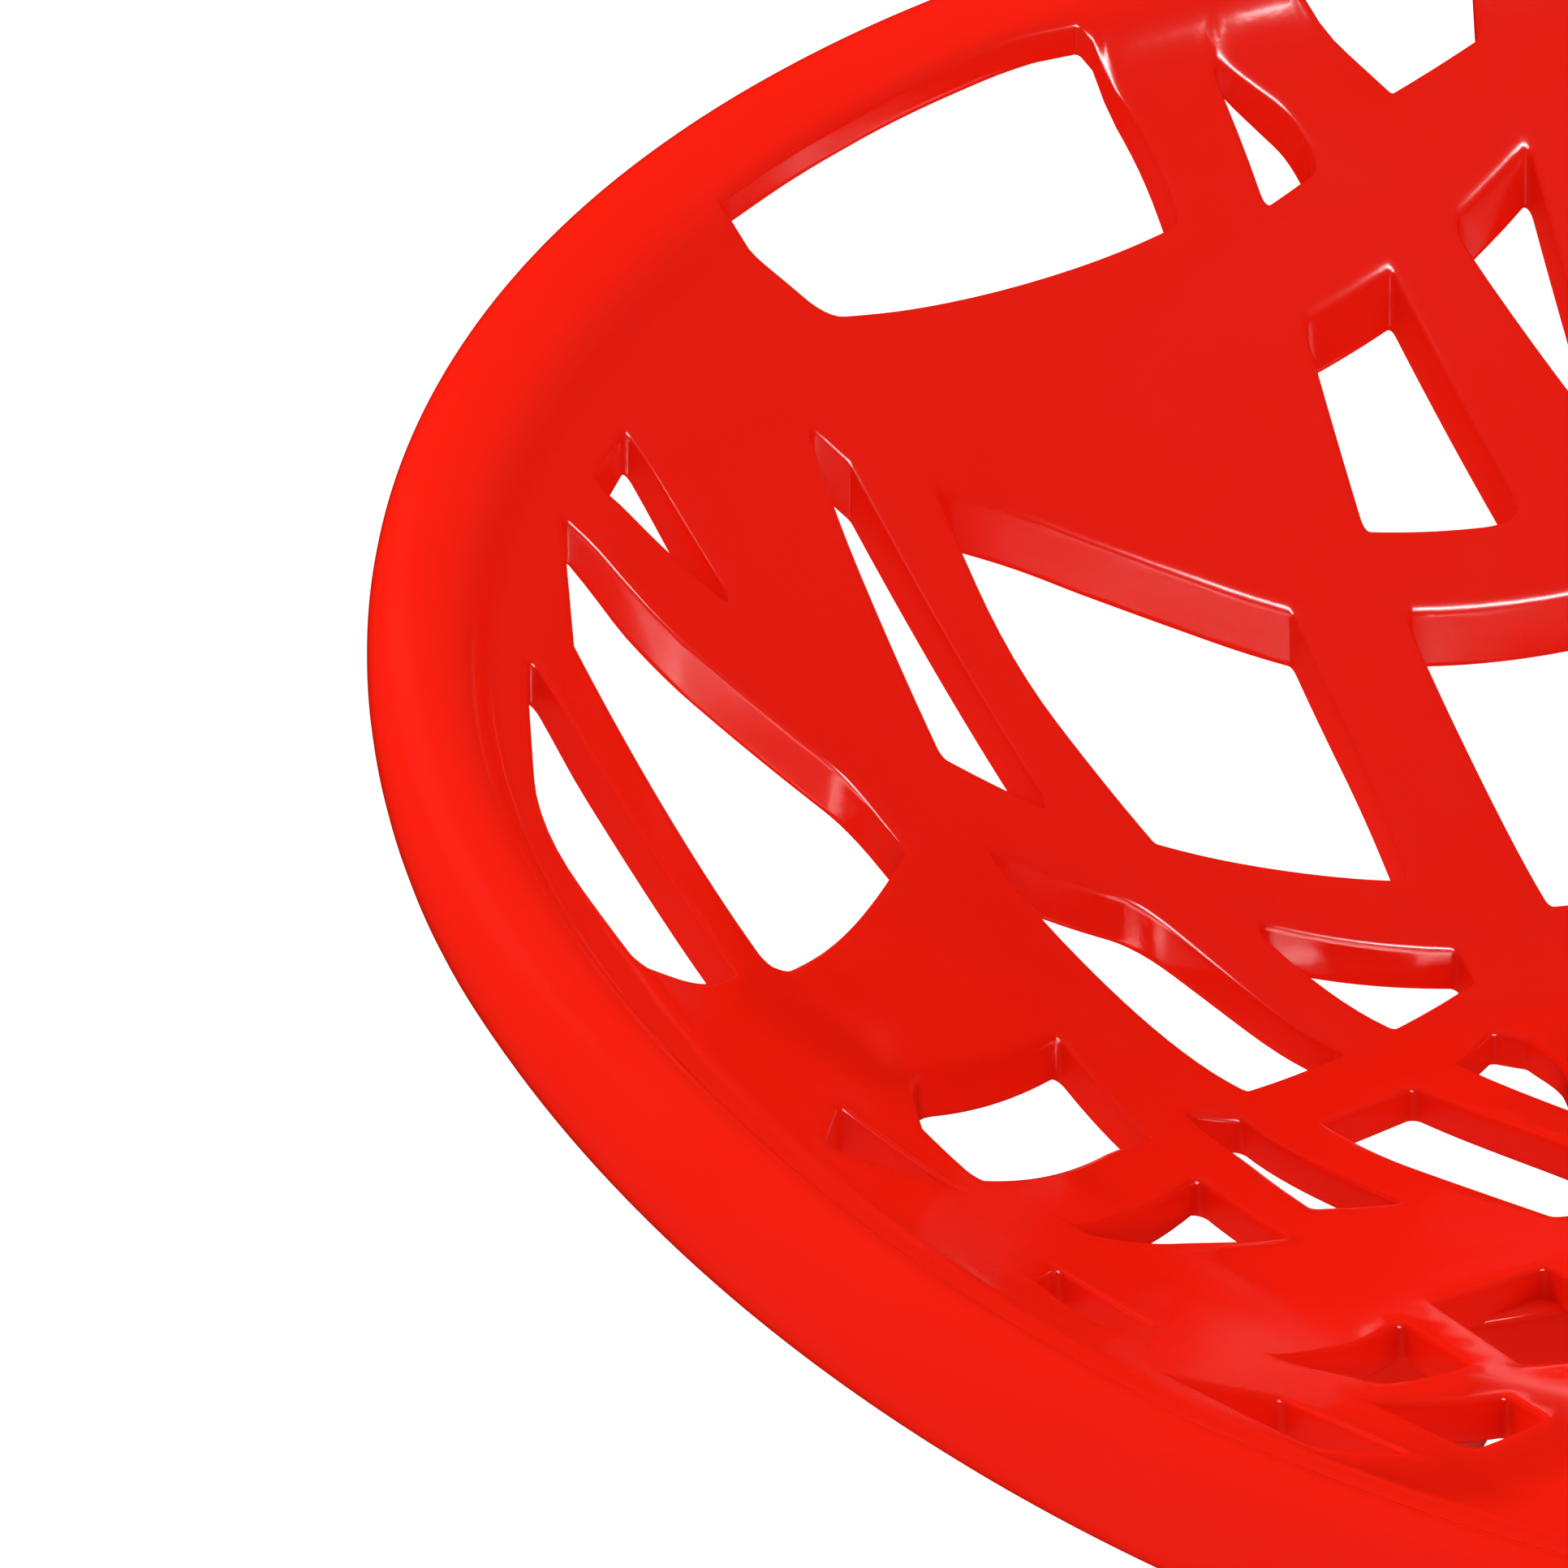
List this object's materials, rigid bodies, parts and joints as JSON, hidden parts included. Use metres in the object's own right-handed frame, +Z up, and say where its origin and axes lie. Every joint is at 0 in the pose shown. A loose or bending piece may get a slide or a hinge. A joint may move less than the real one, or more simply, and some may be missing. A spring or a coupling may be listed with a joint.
{
  "type": "lattice tub armchair",
  "caption": "Low-back tub armchair: an open-lattice moulded shell with a thick rolled rim, on splayed round legs with floor glides.",
  "frame": {"origin": "on the floor, under the middle of the chair's plan box", "axes": "+Z up, -Y towards the front of the seat, +X to the right when the chair is seen from the front"},
  "size_m": [0.608, 0.528, 0.6298],
  "materials": {
    "shell": "gloss moulded nylon, solid red",
    "leg": "gloss powder coat on cast aluminium, red",
    "glide": "matt black nylon",
    "pad": "dark grey soft pad",
    "steel": "zinc plated steel",
    "brass": "turned brass"
  },
  "bodies": {
    "root": {"seat_shell": "shell", "front_left_leg": "leg", "front_right_leg": "leg", "rear_left_leg": "leg", "rear_right_leg": "leg", "front_left_glide": "glide", "front_right_glide": "glide", "rear_left_glide": "glide", "rear_right_glide": "glide", "glide_pads": "pad", "glide_screws": "steel", "threaded_inserts": "brass", "leg_washers": "steel", "leg_bolts": "steel"}
  },
  "joints": []
}
